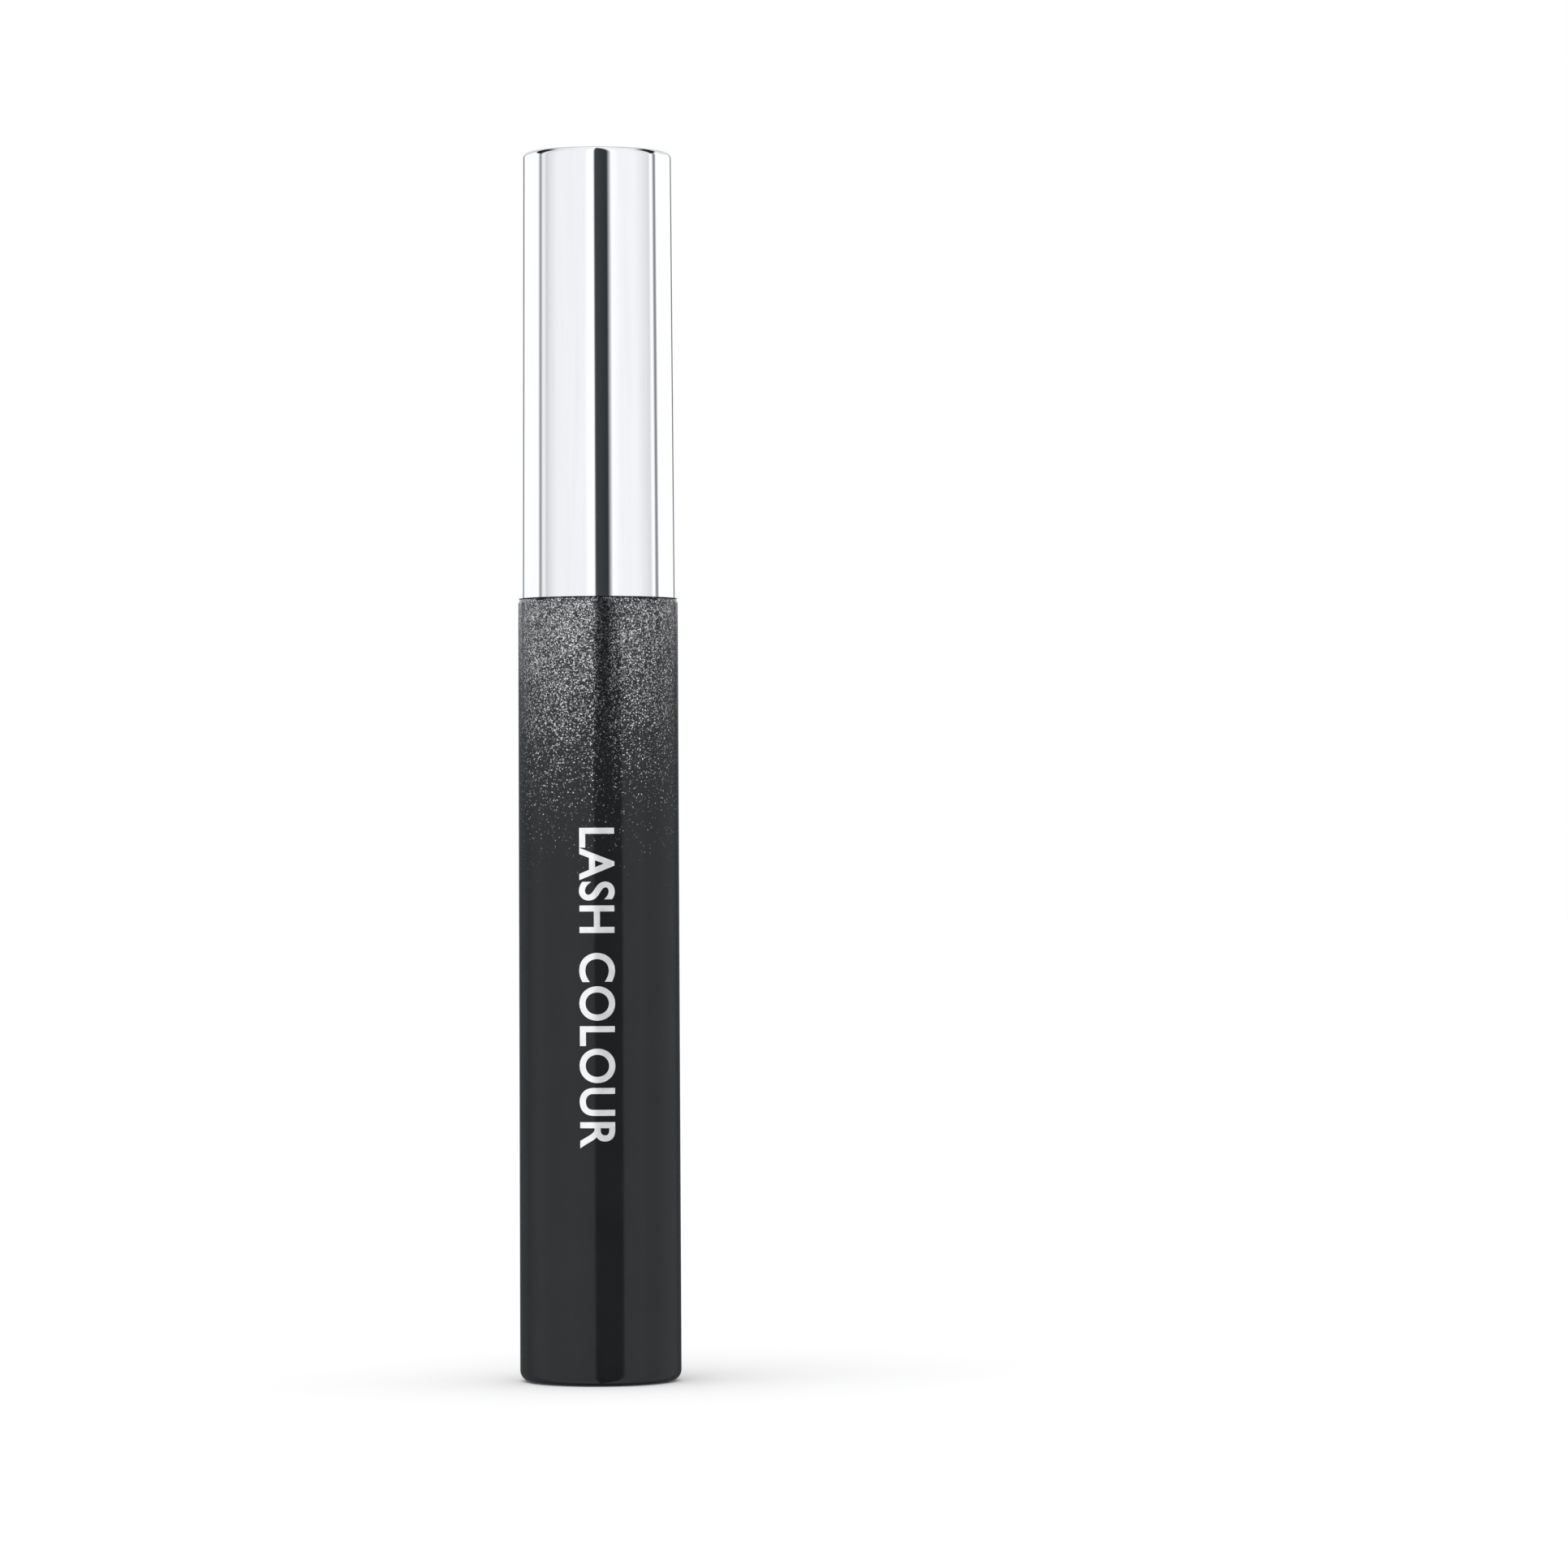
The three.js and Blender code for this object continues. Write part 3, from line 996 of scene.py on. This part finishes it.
class TUBE_OT_cap_shell(bpy.types.Operator):
    """Add the bright shell of the cap"""

    bl_idname = "tube.cap_shell"
    bl_label = "Cap Shell"

    def execute(self, context):
        cap = context.scene.mascara_tube.cap
        EDGE_DROP = 0.17 * MM  # the bright skin rolls down over the shell's edge by this much
        edge, top = CAP_LOW.z - EDGE_DROP, CAP_HIGH.z
        ceiling = top - 0.7 * MM
        LIP_REACH = 0.1 * MM  # the skin's outer edge hangs this much lower still
        outline = [
            (0, ceiling),
            (SHELL_BORE - 0.3 * MM, ceiling),
            (SHELL_BORE, ceiling - 0.3 * MM),
            (SHELL_BORE, edge + 0.05 * MM),
            (SHELL_BORE + 0.05 * MM, edge),
            (cap.open_radius - 0.26 * MM, edge),
            (cap.open_radius - 0.12 * MM, edge - 0.4 * LIP_REACH),
            (cap.open_radius - 0.03 * MM, edge - LIP_REACH),
            (cap.open_radius, edge - 0.7 * LIP_REACH),
            *upper_edge(cap.closed_radius, top, cap.top_round, 12),
            (0, top),
        ]
        shell = turned("bright_cap_skin", outline)
        finish_piece(shell, bright_metal(cap), "applicator", "bright_cap", "cap_shell")
        return {"FINISHED"}


class TUBE_OT_inner_cap(bpy.types.Operator):
    """Add the threaded liner with the stem's socket and its ribs"""

    bl_idname = "tube.inner_cap"
    bl_label = "Inner Cap"

    def execute(self, context):
        outer = LINER_HIGH.x
        bottom, top = LINER_LOW.z, LINER_HIGH.z
        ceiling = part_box("seal_washer")[1].z + 0.1 * MM
        upper_floor = ceiling + 1.8 * MM
        socket_top = ceiling + 7.5 * MM
        pocket = 5.9 * MM
        socket = 3.5 * MM
        outline = [
            (LINER_BORE + 0.15 * MM, bottom),
            (outer - 0.1 * MM, bottom),
            (outer, bottom + 0.1 * MM),
            (outer, top),
            (pocket, top),
            (pocket, upper_floor),
            (socket, upper_floor),
            (socket, socket_top),
            (SOCKET_BORE, socket_top),
            (SOCKET_BORE, ceiling),
            (LINER_BORE, ceiling),
            (LINER_BORE, bottom + 0.3 * MM),
        ]
        liner = turned("threaded_liner", outline, INNER_ROUND)
        start = THREAD_START - THREAD_LEAD / 2
        ridge = thread_ridge("liner_thread", LINER_BORE, NECK_RADIUS + 0.17 * MM, start, 1.25)
        plastic = moulded_black(context.scene.mascara_tube.applicator)
        weld(liner, ridge, *self.ribs(socket, pocket, upper_floor))
        finish_piece(liner, plastic, "applicator", "black_plastic", "inner_cap")
        return {"FINISHED"}

    def ribs(self, socket, pocket, upper_floor):
        """Upright ribs between the socket and the liner's wall."""
        RIBS = 4
        RIB_HEIGHT = 4.6 * MM
        RIB_WIDTH = 1.0 * MM
        ribs = []
        for i in range(RIBS):
            let_go()
            angle = (i + 0.5) * 2 * math.pi / RIBS
            middle = (socket + pocket) / 2
            height = upper_floor + RIB_HEIGHT / 2 - 0.1 * MM
            place = (middle * math.cos(angle), middle * math.sin(angle), height)
            bpy.ops.mesh.primitive_cube_add(size=1, location=place, rotation=(0, 0, angle))
            rib = named(f"liner_rib_{i + 1}")
            rib.scale = (pocket - socket + 0.4 * MM, RIB_WIDTH, RIB_HEIGHT)
            settle()
            edit_all()
            bpy.ops.mesh.bevel(offset=0.12 * MM, segments=2)
            stop_editing()
            ribs.append(rib)
        return ribs


class TUBE_OT_cap_weight(bpy.types.Operator):
    """Add the steel slug in the cap's closed end"""

    bl_idname = "tube.cap_weight"
    bl_label = "Cap Weight"

    def execute(self, context):
        low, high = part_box("cap_weight")
        bevel = 0.4 * MM
        outline = [
            (0, low.z),
            *lower_edge(high.x, low.z, bevel),
            *upper_edge(high.x, high.z, bevel),
            (0, high.z),
        ]
        slug = turned("steel_slug", outline, INNER_ROUND)
        finish_piece(slug, steel(), "weight", "steel", "cap_weight")
        return {"FINISHED"}


class TUBE_OT_seal_washer(bpy.types.Operator):
    """Add the foam ring that the cap presses on the neck"""

    bl_idname = "tube.seal_washer"
    bl_label = "Seal Washer"

    def execute(self, context):
        low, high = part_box("seal_washer")
        hole = context.scene.mascara_tube.applicator.root_radius + 0.31 * MM
        edge = 0.15 * MM
        outline = [
            (hole, low.z),
            *lower_edge(high.x, low.z, edge),
            *upper_edge(high.x, high.z, edge),
            (hole, high.z),
        ]
        washer = turned("foam_washer", outline, INNER_ROUND)
        finish_piece(washer, foam(), "seal", "seal_foam", "seal_washer")
        return {"FINISHED"}


# ---------------------------------------------------------------- the applicator


class TUBE_OT_stem(bpy.types.Operator):
    """Add the stem, whose head rests on the liner's socket and whose tip grips the wire"""

    bl_idname = "tube.stem"
    bl_label = "Stem"

    def execute(self, context):
        applicator = context.scene.mascara_tube.applicator
        tip, head_top = STEM_LOW.z, STEM_HIGH.z
        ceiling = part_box("seal_washer")[1].z + 0.1 * MM
        head = STEM_HIGH.x
        shank = SOCKET_BORE - 0.1 * MM
        hole = applicator.strand_offset + applicator.wire_radius + 0.09 * MM
        hole_top = WIRE_HIGH.z + 0.5 * MM
        TIP_ROUND = 0.8 * MM
        outline = [
            (0, hole_top),
            (hole, hole_top),
            (hole, tip + 0.05 * MM),
            (hole + 0.05 * MM, tip),
            *lower_edge(applicator.tip_radius, tip, TIP_ROUND, 10),
            (applicator.root_radius, ceiling - 0.2 * MM),
            (shank, ceiling),
            (shank, head_top - 1.2 * MM),
            (head, head_top - 1.2 * MM),
            *upper_edge(head, head_top, 0.2 * MM),
            (0, head_top),
        ]
        stem = turned("wand_stem", outline, INNER_ROUND)
        finish_piece(stem, moulded_black(applicator), "applicator", "black_plastic", "stem")
        return {"FINISHED"}


class Twist:
    """How the wire and the bristles turn about the axis.

    The twist is left-handed. It eases off to nothing at the bend in the wire's end."""

    EASE = 0.8 * MM

    def __init__(self, applicator):
        self.bend = WIRE_LOW.z + applicator.strand_offset + applicator.wire_radius
        middles = [sum(corner.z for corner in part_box(node)) / 2 for node in TUFT_NODES]
        self.first = middles[0]
        self.spacing = middles[1] - middles[0]
        self.middles = middles

    def eased(self, z):
        above = z - self.bend
        if above < self.EASE:
            return above**2 / (2 * self.EASE)
        return above - self.EASE / 2

    def angle(self, z):
        return -math.pi * (self.eased(z) - self.eased(self.first)) / self.spacing


class TUBE_OT_brush_wire(bpy.types.Operator):
    """Add the wire, bent like a hairpin and twisted on itself"""

    bl_idname = "tube.brush_wire"
    bl_label = "Brush Wire"

    def execute(self, context):
        applicator = context.scene.mascara_tube.applicator
        points = self.route(applicator)
        let_go()
        bpy.ops.curve.primitive_nurbs_path_add()
        wire = named("twisted_wire")
        spline = wire.data.splines[0]
        spline.points.add(len(points) - len(spline.points))
        for point, place in zip(spline.points, points):
            point.co = (*place, 1.0)
        spline.order_u = 3
        spline.use_endpoint_u = True
        spline.resolution_u = 2
        wire.data.dimensions = "3D"
        wire.data.bevel_depth = applicator.wire_radius
        wire.data.bevel_resolution = 3
        wire.data.use_fill_caps = True
        bpy.ops.object.convert(target="MESH")
        edit_all()
        bpy.ops.mesh.remove_doubles(threshold=1e-7)
        stop_editing()
        close_up(wire, 45.0)
        finish_piece(wire, steel(), "applicator", "steel", "brush_wire")
        return {"FINISHED"}

    def route(self, applicator):
        """Down one strand, round the bend and up the other."""
        STEPS = 260
        BEND_STEPS = 12
        twist = Twist(applicator)
        offset = applicator.strand_offset
        top = WIRE_HIGH.z
        down, up = [], []
        for i in range(STEPS):
            z = top + (twist.bend - top) * i / STEPS
            side = twist.angle(z) + math.pi / 2
            across = Vector((math.cos(side), math.sin(side), 0)) * offset
            down.append(Vector((0, 0, z)) + across)
            up.append(Vector((0, 0, z)) - across)
        side = twist.angle(twist.bend) + math.pi / 2
        bend = []
        for i in range(BEND_STEPS + 1):
            sweep = math.pi * i / BEND_STEPS
            across = Vector((math.cos(side), math.sin(side), 0)) * offset * math.cos(sweep)
            bend.append(Vector((0, 0, twist.bend - offset * math.sin(sweep))) + across)
        return down + bend + up[::-1]


class TUBE_OT_bristles(bpy.types.Operator):
    """Add the tufts, each of which holds the filaments of one half turn of the wire"""

    bl_idname = "tube.bristles"
    bl_label = "Bristle Tufts"

    def execute(self, context):
        applicator = context.scene.mascara_tube.applicator
        twist = Twist(applicator)
        rng = random.Random(applicator.seed)
        BENDS = (-0.36 * MM, -0.22 * MM, -0.08 * MM, 0.05 * MM, 0.16 * MM, 0.3 * MM)
        patterns = [self.filament(applicator.filament_radius, bend) for bend in BENDS]
        material = nylon()
        PAST_TIP = 0.35  # how far the last tuft runs on towards the wire's bend, in spacings
        TIP_LENGTH = 0.5  # of a usual filament, for the ones that run on
        for index, node in enumerate(TUFT_NODES):
            low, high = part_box(node)
            middle = twist.middles[index]
            reach = max(high.x, high.y, -low.x, -low.y)
            run_on = PAST_TIP if middle == min(twist.middles) else 0.0
            placed = []
            for i in range(applicator.filaments):
                share = (i + rng.random()) / applicator.filaments * (1 + run_on) - 0.5 - run_on
                z = middle + share * abs(twist.spacing)
                trim = TIP_LENGTH if share < -0.5 else 1.0
                placed.append(self.place(rng, patterns, z, twist, reach * trim))
            pick(*placed)
            bpy.ops.object.join()
            tuft = named(f"filaments_{index + 1:02d}")
            pick(tuft)
            settle()
            bpy.ops.object.shade_smooth()
            finish_piece(tuft, material, "applicator", "bristle", node)
        for pattern in patterns:
            bpy.data.objects.remove(pattern)
        return {"FINISHED"}

    def filament(self, radius, bend):
        """A filament two units long, drawn out along X from a square section and bent sideways."""
        STEPS = 8
        TIP_SHARE = 0.6
        let_go()
        bpy.ops.mesh.primitive_circle_add(
            vertices=4, radius=radius, fill_type="NGON", rotation=(0, math.radians(90), 0)
        )
        made = named("filament_pattern")
        settle()
        edit_all()
        bpy.ops.transform.translate(value=(-1, 0, bend))
        bpy.ops.transform.resize(value=(1, TIP_SHARE, TIP_SHARE), center_override=(-1, 0, bend))
        width = TIP_SHARE
        for i in range(STEPS):
            x, next_x = -1 + 2 * i / STEPS, -1 + 2 * (i + 1) / STEPS
            rise = bend * (next_x**2 - x**2)
            bpy.ops.mesh.extrude_region_move(
                TRANSFORM_OT_translate={"value": (next_x - x, 0, rise)}
            )
            next_width = TIP_SHARE if i == STEPS - 1 else 1.0
            share = next_width / width
            centre = (next_x, 0, bend * next_x**2)
            bpy.ops.transform.resize(value=(1, share, share), center_override=centre)
            width = next_width
        bpy.ops.mesh.select_all(action="SELECT")
        bpy.ops.mesh.normals_make_consistent(inside=False)
        stop_editing()
        return made

    def place(self, rng, patterns, z, twist, reach):
        """A copy of a filament, pinched between the strands at height z."""
        TURN_SPREAD = math.radians(5)
        SLOPE_SPREAD = math.radians(1.6)
        LENGTH_SPREAD = 0.05
        SLIP_SPREAD = 0.015
        PINCH = 0.06 * MM  # to either side of the middle, between the strands
        pattern = rng.choice(patterns)
        filament = pattern.copy()
        filament.data = pattern.data.copy()
        bpy.context.scene.collection.objects.link(filament)
        heading = twist.angle(z) + rng.gauss(0, TURN_SPREAD)
        slope = rng.gauss(0, SLOPE_SPREAD)
        length = reach * (1 - abs(rng.gauss(0, LENGTH_SPREAD)))
        slip = rng.gauss(0, SLIP_SPREAD) * length
        filament.matrix_world = (
            Matrix.Translation((0, 0, z))
            @ Matrix.Rotation(heading, 4, "Z")
            @ Matrix.Rotation(slope, 4, "Y")
            @ Matrix.Translation((slip, rng.uniform(-PINCH, PINCH), 0))
            @ Matrix.Rotation(rng.uniform(0, 2 * math.pi), 4, "X")
            @ Matrix.Diagonal((length - abs(slip), 1, 1, 1))
        )
        return filament


# ---------------------------------------------------------------- the studio


class TUBE_OT_studio(bpy.types.Operator):
    """Add the camera, the pale floor, the soft light and the panels that the bright cap mirrors"""

    bl_idname = "tube.studio"
    bl_label = "Studio"

    def execute(self, context):
        studio = context.scene.mascara_tube.studio
        context.scene.view_settings.view_transform = "Standard"
        self.camera(context, studio)
        self.floor(studio)
        self.key_light(studio)
        self.surroundings(context)
        return {"FINISHED"}

    def camera(self, context, studio):
        place = Vector((studio.side_offset, -studio.distance, studio.eye_height))
        aim = Vector((studio.side_offset, 0, studio.aim_height))
        level = (aim - place).to_track_quat("-Z", "Y").to_matrix()
        turn = (level @ Matrix.Rotation(studio.roll, 3, "Z")).to_euler()
        let_go()
        bpy.ops.object.camera_add(location=place, rotation=turn)
        camera = named("studio_camera")
        camera.data.lens = studio.lens
        camera.data.sensor_width = 36.0
        camera.data.clip_start = 0.01
        context.scene.camera = camera

    def floor(self, studio):
        let_go()
        bpy.ops.mesh.primitive_plane_add(size=8.0)
        floor = named("studio_floor")
        floor.data.materials.append(floor_paint(studio.floor))
        floor.visible_glossy = False

    def key_light(self, studio):
        let_go()
        place = Vector((-0.25, -0.35, 0.9))
        turn = (-place).to_track_quat("-Z", "Y").to_euler()
        bpy.ops.object.light_add(type="SUN", location=place, rotation=turn)
        light = named("soft_key")
        light.data.energy = studio.key_strength
        light.data.angle = math.radians(50)
        light.visible_glossy = False

    def surroundings(self, context):
        """White panels all round in two tiers, with narrow gaps and a black flag in front.

        Only mirrored rays meet the panels. The light and the view behind the tube are white."""
        WHITE = (1.0, 1.0, 1.0, 1.0)
        CEILING = (0.68, 0.68, 0.69, 1.0)
        DARK_WALL = (0.02, 0.02, 0.022, 1.0)
        TIER_EDGE = (0.039, 0.041)
        # Where a part of the studio starts and where it is full, as a part of a ray's direction.
        BEHIND = (0.4, 0.5)
        OVERHEAD = (0.15, 0.6)
        PAST_SIDE = (-0.01, 0.03)
        ABOVE_FOOT = (0.17, 0.23)
        AT_TOP = (0.78, 0.86)
        FOOT_SLOPE = 0.9
        world = bpy.data.worlds.new("studio_surroundings")
        context.scene.world = world
        world.use_nodes = True
        tree = world.node_tree
        tree.nodes.clear()
        direction = add_node(tree, "ShaderNodeTexCoord").outputs["Generated"]
        axes = add_node(tree, "ShaderNodeSeparateXYZ", {"Vector": direction})
        front = calculate(tree, "MULTIPLY", axes.outputs["Y"], -1.0)
        azimuth = calculate(tree, "ARCTAN2", axes.outputs["X"], front)
        turn = calculate(tree, "MULTIPLY_ADD", azimuth, 0.5 / math.pi, 0.5)
        high_tier = self.panels(tree, turn, HIGH_PANELS)
        low_tier = self.panels(tree, turn, LOW_PANELS)
        away, up = axes.outputs["Y"], axes.outputs["Z"]
        tier = spread(tree, up, 0.0, 1.0, *TIER_EDGE)
        walls = blend(tree, tier, low_tier, high_tier)
        # Behind the tube the panels give way upwards to a grey ceiling.
        behind = spread(tree, away, 0.0, 1.0, *BEHIND)
        overhead = spread(tree, up, 0.0, 1.0, *OVERHEAD)
        far = calculate(tree, "MULTIPLY", behind, overhead)
        ceiling = blend(tree, far, walls, CEILING)
        # Above the panels a dark wall runs back from the sides, and its foot rises as it goes.
        past_side = spread(tree, away, 0.0, 1.0, *PAST_SIDE)
        slant = calculate(tree, "MULTIPLY_ADD", away, -FOOT_SLOPE, up)
        above_foot = spread(tree, slant, 0.0, 1.0, *ABOVE_FOOT)
        below_top = spread(tree, up, 1.0, 0.0, *AT_TOP)
        wall = calculate(tree, "MULTIPLY", past_side, above_foot)
        wall = calculate(tree, "MULTIPLY", wall, below_top)
        mirrored = blend(tree, wall, ceiling, DARK_WALL)
        rays = add_node(tree, "ShaderNodeLightPath")
        soft = blend(tree, rays.outputs["Is Diffuse Ray"], mirrored, WHITE)
        seen = blend(tree, rays.outputs["Is Camera Ray"], soft, WHITE)
        background = add_node(tree, "ShaderNodeBackground", {"Color": seen})
        output = add_node(tree, "ShaderNodeOutputWorld")
        tree.links.new(background.outputs["Background"], output.inputs["Surface"])

    def panels(self, tree, turn, panels):
        """A ramp round the studio, whose greys are a little cool."""
        stops = [
            (degrees / 360 + 0.5, (grey, grey + 0.006, grey * 1.01 + 0.011))
            for degrees, grey in panels
        ]
        return ramp(tree, turn, stops)


# How bright the panels are at places round the studio, in degrees from -Y towards +X.
HIGH_PANELS = (
    (-142, 1.08), (-139.5, 0.18), (-136.5, 0.18), (-134, 1.08),
    (-95.5, 1.05), (-92, 0.33), (-89, 0.33), (-87, 0.87),
    (-82, 0.88), (-79, 0.66), (-72, 0.8), (-60, 0.93),
    (-17, 0.94), (-11, 1.08), (-3, 1.08), (-1.2, 0.05),
    (16.8, 0.03), (19.3, 0.3), (24, 1.08), (38, 0.95),
    (62, 0.96), (78, 0.82), (86, 0.75), (90, 1.08),
    (93.5, 1.0), (96, 0.25), (99.5, 0.25), (102, 1.08),
    (145, 1.08), (148, 0.12), (151, 0.12), (154, 1.08),
)

LOW_PANELS = (
    (-150, 0.12), (-120, 0.28), (-92, 0.82), (-40, 1.1),
    (-7, 0.98), (-4, 0.11), (34, 0.11), (37, 1.05),
    (66, 1.05), (74, 0.9), (112, 0.6), (150, 0.1),
)


class TUBE_PT_panel(bpy.types.Panel):
    """Sizes, colours and the pieces in the order in which they are added"""

    bl_label = "Mascara Tube"
    bl_idname = "TUBE_PT_panel"
    bl_space_type = "VIEW_3D"
    bl_region_type = "UI"
    bl_category = "Mascara Tube"

    def draw(self, context):
        settings = context.scene.mascara_tube
        for title, group in (
            ("Sleeve", settings.sleeve),
            ("Cap", settings.cap),
            ("Applicator", settings.applicator),
            ("Studio", settings.studio),
        ):
            box = self.layout.box()
            box.label(text=title)
            for key in group.bl_rna.properties.keys():
                if key not in ("rna_type", "name"):
                    box.prop(group, key)
        for operator in OPERATORS:
            self.layout.operator(operator.bl_idname)


OPERATORS = (
    TUBE_OT_outer_sleeve,
    TUBE_OT_lettering,
    TUBE_OT_inner_bottle,
    TUBE_OT_shoulder_collar,
    TUBE_OT_wiper,
    TUBE_OT_base_label,
    TUBE_OT_cap_shell,
    TUBE_OT_inner_cap,
    TUBE_OT_cap_weight,
    TUBE_OT_seal_washer,
    TUBE_OT_stem,
    TUBE_OT_brush_wire,
    TUBE_OT_bristles,
    TUBE_OT_studio,
)

CLASSES = (
    SleeveSettings,
    CapSettings,
    ApplicatorSettings,
    StudioSettings,
    TubeSettings,
    *OPERATORS,
    TUBE_PT_panel,
)


def register():
    for cls in CLASSES:
        bpy.utils.register_class(cls)
    bpy.types.Scene.mascara_tube = PointerProperty(type=TubeSettings)


def unregister():
    del bpy.types.Scene.mascara_tube
    for cls in reversed(CLASSES):
        bpy.utils.unregister_class(cls)


def main():
    register()
    bpy.ops.tube.outer_sleeve()
    bpy.ops.tube.lettering()
    bpy.ops.tube.inner_bottle()
    bpy.ops.tube.shoulder_collar()
    bpy.ops.tube.wiper()
    bpy.ops.tube.base_label()
    bpy.ops.tube.cap_shell()
    bpy.ops.tube.inner_cap()
    bpy.ops.tube.cap_weight()
    bpy.ops.tube.seal_washer()
    bpy.ops.tube.stem()
    bpy.ops.tube.brush_wire()
    bpy.ops.tube.bristles()
    bpy.ops.tube.studio()


if __name__ == "__main__":
    main()
